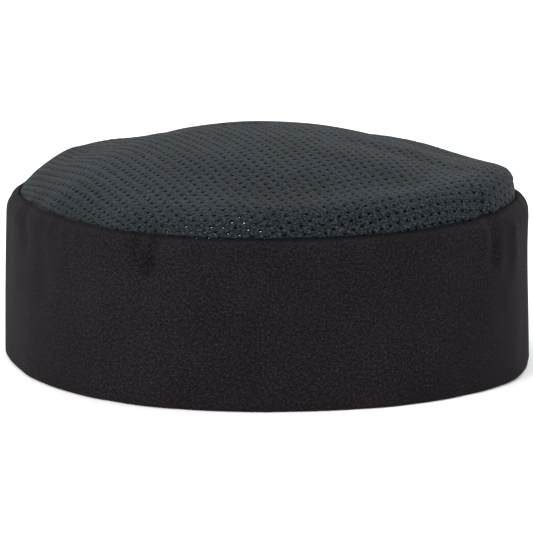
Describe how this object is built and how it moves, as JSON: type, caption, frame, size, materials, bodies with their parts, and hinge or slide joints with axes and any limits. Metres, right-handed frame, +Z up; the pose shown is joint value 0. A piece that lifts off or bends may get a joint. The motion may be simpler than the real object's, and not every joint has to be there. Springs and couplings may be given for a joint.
{
  "type": "chef cap",
  "caption": "Low chef's cap with a stiffened twill band, a domed mesh crown, an inner sweatband and a hook-and-loop strap across a bound arch at the back.",
  "frame": {"origin": "on the plane that the hem rests on, at the middle of the cap's box", "axes": "+Z up through the crown, +X across the cap, -Y to the front, +Y to the strap at the back"},
  "size_m": [0.188, 0.2066, 0.084],
  "materials": {
    "band_twill": "matt twill, black with a faint warm cast",
    "lining_twill": "matt twill, black",
    "interlining": "stiff fused cloth",
    "sweatband_cloth": "soft brushed cloth",
    "crown_mesh": "smooth perforated knit, dark slate grey",
    "seam_tape": "plain woven tape, black",
    "thread": "twisted polyester thread, black",
    "loop_pile": "napped loop pile, black",
    "hook_nylon": "moulded nylon hooks on a woven base, black",
    "label_satin": "white satin ribbon, blank"
  },
  "bodies": {
    "cap": {"band_shell": "band_twill", "band_interlining": "interlining", "band_lining": "lining_twill", "sweatband": "sweatband_cloth", "sweatband_stitches": "thread", "crown_panel": "crown_mesh", "crown_seam_tape": "seam_tape", "crown_seam_stitches": "thread", "arch_binding": "seam_tape", "arch_binding_stitches": "thread", "under_strap": "band_twill", "loop_tape": "loop_pile", "loop_tape_stitches": "thread", "strap_root": "band_twill", "strap_root_stitches": "thread", "size_label": "label_satin"},
    "strap": {"over_strap": "band_twill", "hook_tape": "hook_nylon", "hook_tape_stitches": "thread"}
  },
  "joints": [
    {"name": "strap_peel", "type": "hinge", "parent": "cap", "child": "strap", "pos_m": [0.0289, 0.0988, 0.0115], "axis": [0, 0, -1], "range_deg": [0, 150]}
  ]
}
